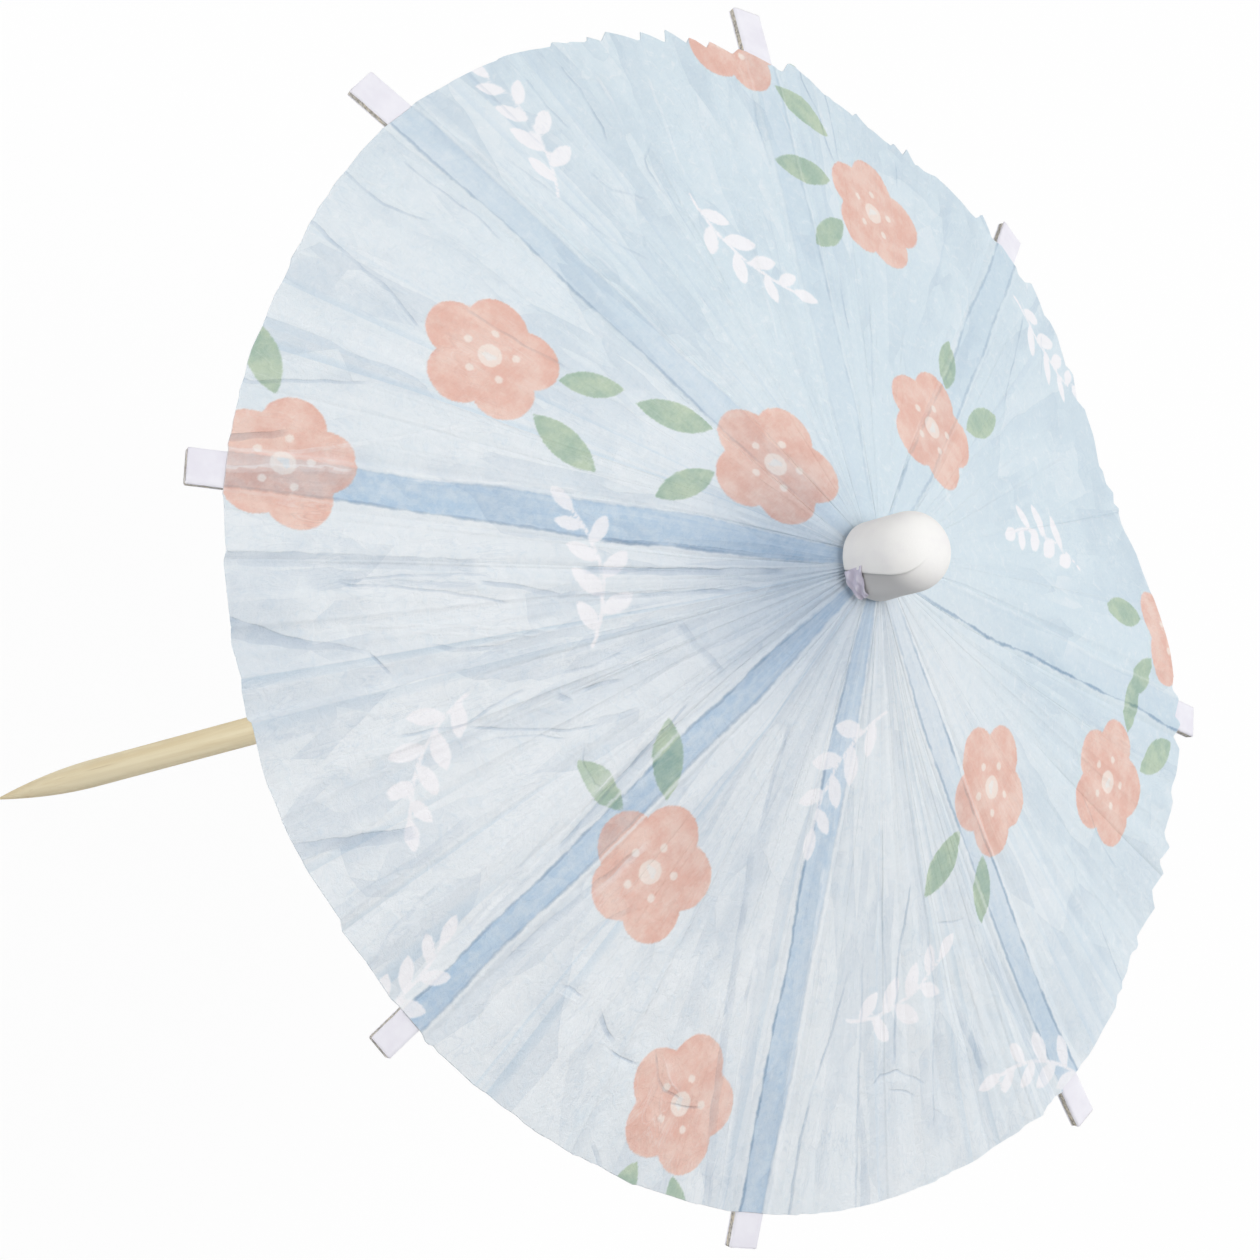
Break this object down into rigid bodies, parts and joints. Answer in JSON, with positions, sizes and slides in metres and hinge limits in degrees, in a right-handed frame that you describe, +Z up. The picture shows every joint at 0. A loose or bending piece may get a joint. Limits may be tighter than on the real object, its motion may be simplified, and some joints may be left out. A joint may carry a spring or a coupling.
{
  "type": "cocktail umbrella pick",
  "caption": "Paper cocktail umbrella on a pointed wooden pick: a pleated round canopy on card ribs, folded by card stretchers and a sliding runner.",
  "frame": {"origin": "the tip of the pick's point, on the pick's axis", "axes": "+Z up the pick from its point to the cap, +X beside the first rib"},
  "size_m": [0.0823, 0.0822, 0.1016],
  "materials": {
    "pick_wood": "matte",
    "rib_card": "matte",
    "canopy_paper": "matte",
    "cap_paper": "matte",
    "scroll_paper": "matte",
    "ring_plastic": "satin"
  },
  "bodies": {
    "pick": {"pick": "pick_wood", "crown_sleeve": "scroll_paper", "rib_feet": "rib_card", "top_cap": "cap_paper"},
    "rib_1": {"rib_1": "rib_card", "paper_gore_1": "canopy_paper", "stretcher_head_1": "rib_card"},
    "stretcher_1": {"stretcher_1": "rib_card"},
    "rib_2": {"rib_2": "rib_card", "paper_gore_2": "canopy_paper", "stretcher_head_2": "rib_card"},
    "stretcher_2": {"stretcher_2": "rib_card"},
    "rib_3": {"rib_3": "rib_card", "paper_gore_3": "canopy_paper", "stretcher_head_3": "rib_card"},
    "stretcher_3": {"stretcher_3": "rib_card"},
    "rib_4": {"rib_4": "rib_card", "paper_gore_4": "canopy_paper", "stretcher_head_4": "rib_card"},
    "stretcher_4": {"stretcher_4": "rib_card"},
    "rib_5": {"rib_5": "rib_card", "paper_gore_5": "canopy_paper", "stretcher_head_5": "rib_card"},
    "stretcher_5": {"stretcher_5": "rib_card"},
    "rib_6": {"rib_6": "rib_card", "paper_gore_6": "canopy_paper", "stretcher_head_6": "rib_card"},
    "stretcher_6": {"stretcher_6": "rib_card"},
    "rib_7": {"rib_7": "rib_card", "paper_gore_7": "canopy_paper", "stretcher_head_7": "rib_card"},
    "stretcher_7": {"stretcher_7": "rib_card"},
    "rib_8": {"rib_8": "rib_card", "paper_gore_8": "canopy_paper", "stretcher_head_8": "rib_card"},
    "stretcher_8": {"stretcher_8": "rib_card"},
    "runner": {"runner_scroll": "scroll_paper", "stretcher_feet": "rib_card", "runner_collar": "cap_paper"},
    "lock_ring": {"lock_ring": "ring_plastic"}
  },
  "joints": [
    {"name": "rib_1_fold", "type": "hinge", "parent": "pick", "child": "rib_1", "pos_m": [0.00176, -0.00003, 0.0954], "axis": [0.0175, 0.9998, 0], "range_deg": [0, 58], "deforming": ["paper_gore_1"]},
    {"name": "stretcher_1_fold", "type": "hinge", "parent": "rib_1", "child": "stretcher_1", "pos_m": [0.01647, -0.00029, 0.08903], "axis": [0.0175, 0.9998, 0], "range_deg": [-116, 0]},
    {"name": "rib_2_fold", "type": "hinge", "parent": "pick", "child": "rib_2", "pos_m": [0.00132, 0.00117, 0.0954], "axis": [-0.6626, 0.749, 0], "range_deg": [0, 58], "deforming": ["paper_gore_2"]},
    {"name": "stretcher_2_fold", "type": "hinge", "parent": "rib_2", "child": "stretcher_2", "pos_m": [0.01234, 0.01092, 0.08903], "axis": [-0.6626, 0.749, 0], "range_deg": [-116, 0]},
    {"name": "rib_3_fold", "type": "hinge", "parent": "pick", "child": "rib_3", "pos_m": [-0.00015, 0.00176, 0.0954], "axis": [-0.9962, -0.0872, 0], "range_deg": [0, 58], "deforming": ["paper_gore_3"]},
    {"name": "stretcher_3_fold", "type": "hinge", "parent": "rib_3", "child": "stretcher_3", "pos_m": [-0.00144, 0.01641, 0.08903], "axis": [-0.9962, -0.0872, 0], "range_deg": [-116, 0]},
    {"name": "rib_4_fold", "type": "hinge", "parent": "pick", "child": "rib_4", "pos_m": [-0.0013, 0.00119, 0.0954], "axis": [-0.6756, -0.7373, 0], "range_deg": [0, 58], "deforming": ["paper_gore_4"]},
    {"name": "stretcher_4_fold", "type": "hinge", "parent": "rib_4", "child": "stretcher_4", "pos_m": [-0.01215, 0.01113, 0.08903], "axis": [-0.6756, -0.7373, 0], "range_deg": [-116, 0]},
    {"name": "rib_5_fold", "type": "hinge", "parent": "pick", "child": "rib_5", "pos_m": [-0.00177, 0, 0.0954], "axis": [0, -1, 0], "range_deg": [0, 58], "deforming": ["paper_gore_5"]},
    {"name": "stretcher_5_fold", "type": "hinge", "parent": "rib_5", "child": "stretcher_5", "pos_m": [-0.01648, 0, 0.08903], "axis": [0, -1, 0], "range_deg": [-116, 0]},
    {"name": "rib_6_fold", "type": "hinge", "parent": "pick", "child": "rib_6", "pos_m": [-0.0013, -0.00119, 0.0954], "axis": [0.6756, -0.7373, 0], "range_deg": [0, 58], "deforming": ["paper_gore_6"]},
    {"name": "stretcher_6_fold", "type": "hinge", "parent": "rib_6", "child": "stretcher_6", "pos_m": [-0.01215, -0.01113, 0.08903], "axis": [0.6756, -0.7373, 0], "range_deg": [-116, 0]},
    {"name": "rib_7_fold", "type": "hinge", "parent": "pick", "child": "rib_7", "pos_m": [0.00011, -0.00176, 0.0954], "axis": [0.9981, 0.061, 0], "range_deg": [0, 58], "deforming": ["paper_gore_7"]},
    {"name": "stretcher_7_fold", "type": "hinge", "parent": "rib_7", "child": "stretcher_7", "pos_m": [0.00101, -0.01644, 0.08903], "axis": [0.9981, 0.061, 0], "range_deg": [-116, 0]},
    {"name": "rib_8_fold", "type": "hinge", "parent": "pick", "child": "rib_8", "pos_m": [0.00117, -0.00132, 0.0954], "axis": [0.749, 0.6626, 0], "range_deg": [0, 58], "deforming": ["paper_gore_8"]},
    {"name": "stretcher_8_fold", "type": "hinge", "parent": "rib_8", "child": "stretcher_8", "pos_m": [0.01092, -0.01234, 0.08903], "axis": [0.749, 0.6626, 0], "range_deg": [-116, 0]},
    {"name": "runner_travel", "type": "hinge", "parent": "stretcher_1", "child": "runner", "pos_m": [0.00176, -0.00003, 0.08267], "axis": [0.0175, 0.9998, 0], "range_deg": [0, 58]},
    {"name": "lock_ring_slide", "type": "slide", "parent": "runner", "child": "lock_ring", "axis": [0, 0, 1], "range_m": [-0.03, 0]}
  ],
  "couplings": [
    {"joint": "stretcher_1_fold", "follows": "rib_1_fold", "ratio": -2},
    {"joint": "rib_2_fold", "follows": "rib_1_fold", "ratio": 1},
    {"joint": "stretcher_2_fold", "follows": "rib_1_fold", "ratio": -2},
    {"joint": "rib_3_fold", "follows": "rib_1_fold", "ratio": 1},
    {"joint": "stretcher_3_fold", "follows": "rib_1_fold", "ratio": -2},
    {"joint": "rib_4_fold", "follows": "rib_1_fold", "ratio": 1},
    {"joint": "stretcher_4_fold", "follows": "rib_1_fold", "ratio": -2},
    {"joint": "rib_5_fold", "follows": "rib_1_fold", "ratio": 1},
    {"joint": "stretcher_5_fold", "follows": "rib_1_fold", "ratio": -2},
    {"joint": "rib_6_fold", "follows": "rib_1_fold", "ratio": 1},
    {"joint": "stretcher_6_fold", "follows": "rib_1_fold", "ratio": -2},
    {"joint": "rib_7_fold", "follows": "rib_1_fold", "ratio": 1},
    {"joint": "stretcher_7_fold", "follows": "rib_1_fold", "ratio": -2},
    {"joint": "rib_8_fold", "follows": "rib_1_fold", "ratio": 1},
    {"joint": "stretcher_8_fold", "follows": "rib_1_fold", "ratio": -2},
    {"joint": "runner_travel", "follows": "rib_1_fold", "ratio": 1}
  ]
}
